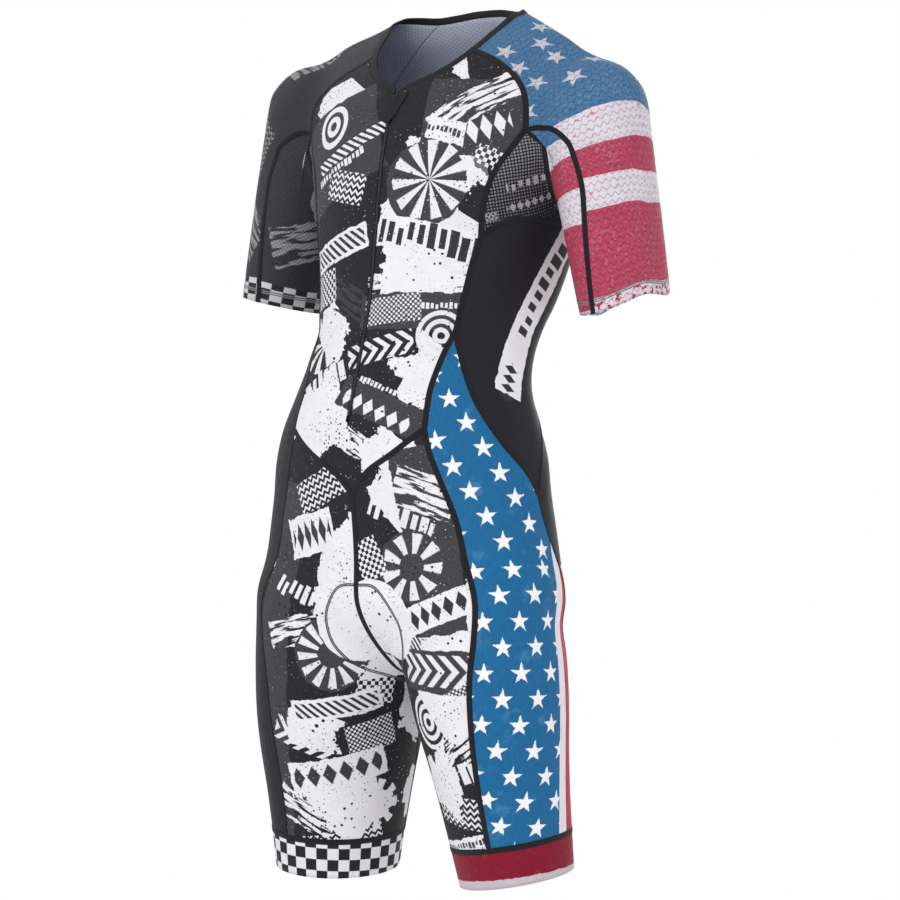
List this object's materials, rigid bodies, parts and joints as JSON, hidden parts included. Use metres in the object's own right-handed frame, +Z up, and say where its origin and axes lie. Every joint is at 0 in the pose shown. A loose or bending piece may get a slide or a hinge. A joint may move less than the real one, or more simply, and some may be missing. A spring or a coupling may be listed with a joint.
{
  "type": "triathlon suit",
  "caption": "One-piece short-sleeved triathlon suit with a front zip and wide leg grippers, filled out as if worn.",
  "frame": {"origin": "middle of the neck opening, level with the neck ends of the shoulders, where the wearer's shoulders hold the suit", "axes": "+Z up, -Y out of the front with the zip, +X towards the wearer's left side"},
  "size_m": [0.5472, 0.2964, 0.9494],
  "materials": {
    "printed_knit": "matt stretch knit with a dark and white print",
    "charcoal_knit": "matt stretch knit",
    "gusset_mesh": "matt perforated knit",
    "red_knit": "matt embossed knit, striped red and white",
    "blue_knit": "matt stretch knit with white stars",
    "dark_sleeve_knit": "matt honeycomb knit",
    "checked_knit": "matt elastic knit in black and white checks",
    "black_binding": "matt woven tape",
    "zip_coil": "matt nylon coil",
    "zip_metal": "matt black"
  },
  "bodies": {
    "root": {"front_body": "printed_knit", "back_body": "charcoal_knit", "side_left": "charcoal_knit", "side_right": "charcoal_knit", "gusset_left": "gusset_mesh", "gusset_right": "gusset_mesh", "sleeve_left": "red_knit", "sleeve_right": "dark_sleeve_knit", "under_sleeve_left": "red_knit", "under_sleeve_right": "dark_sleeve_knit", "leg_front_left": "printed_knit", "leg_front_right": "printed_knit", "leg_back_left": "charcoal_knit", "leg_back_right": "charcoal_knit", "leg_side_left": "blue_knit", "leg_side_right": "charcoal_knit", "gripper_left": "red_knit", "gripper_right": "checked_knit", "neck_binding": "black_binding", "zip_tape_left": "black_binding", "zip_tape_right": "black_binding", "zip_chain": "zip_coil", "zip_slider": "zip_metal", "zip_tab": "zip_metal", "zip_garage": "black_binding"}
  },
  "joints": []
}
